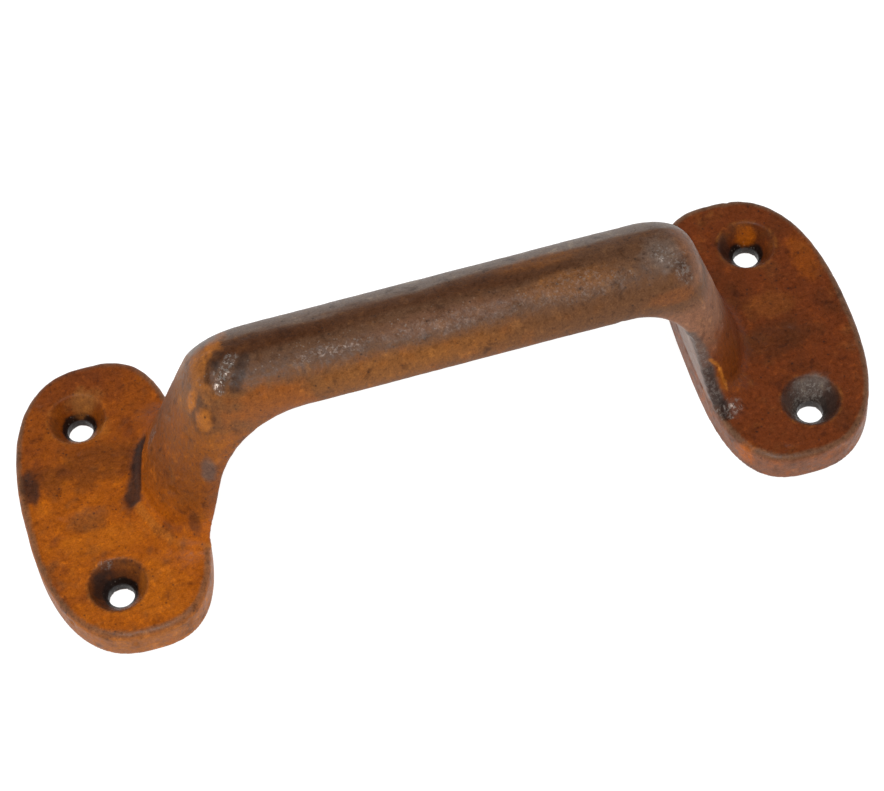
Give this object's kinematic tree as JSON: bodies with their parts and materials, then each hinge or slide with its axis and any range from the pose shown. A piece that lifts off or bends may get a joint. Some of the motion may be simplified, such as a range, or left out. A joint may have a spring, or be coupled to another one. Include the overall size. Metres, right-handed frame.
{
  "type": "pull handle",
  "caption": "Cast bow pull handle for a door, gate or shed: a rounded grip bends down at both ends into flat oval feet with countersunk screw holes.",
  "frame": {"origin": "centre of the mounting plane, midway between the two feet", "axes": "+X along the grip, +Y across it, +Z away from the door, out of the mounting plane"},
  "size_m": [0.165, 0.0624, 0.042],
  "materials": {
    "rusted_iron": "rusted cast surface, slightly satin"
  },
  "bodies": {
    "root": {"pull_handle": "rusted_iron"}
  },
  "joints": []
}
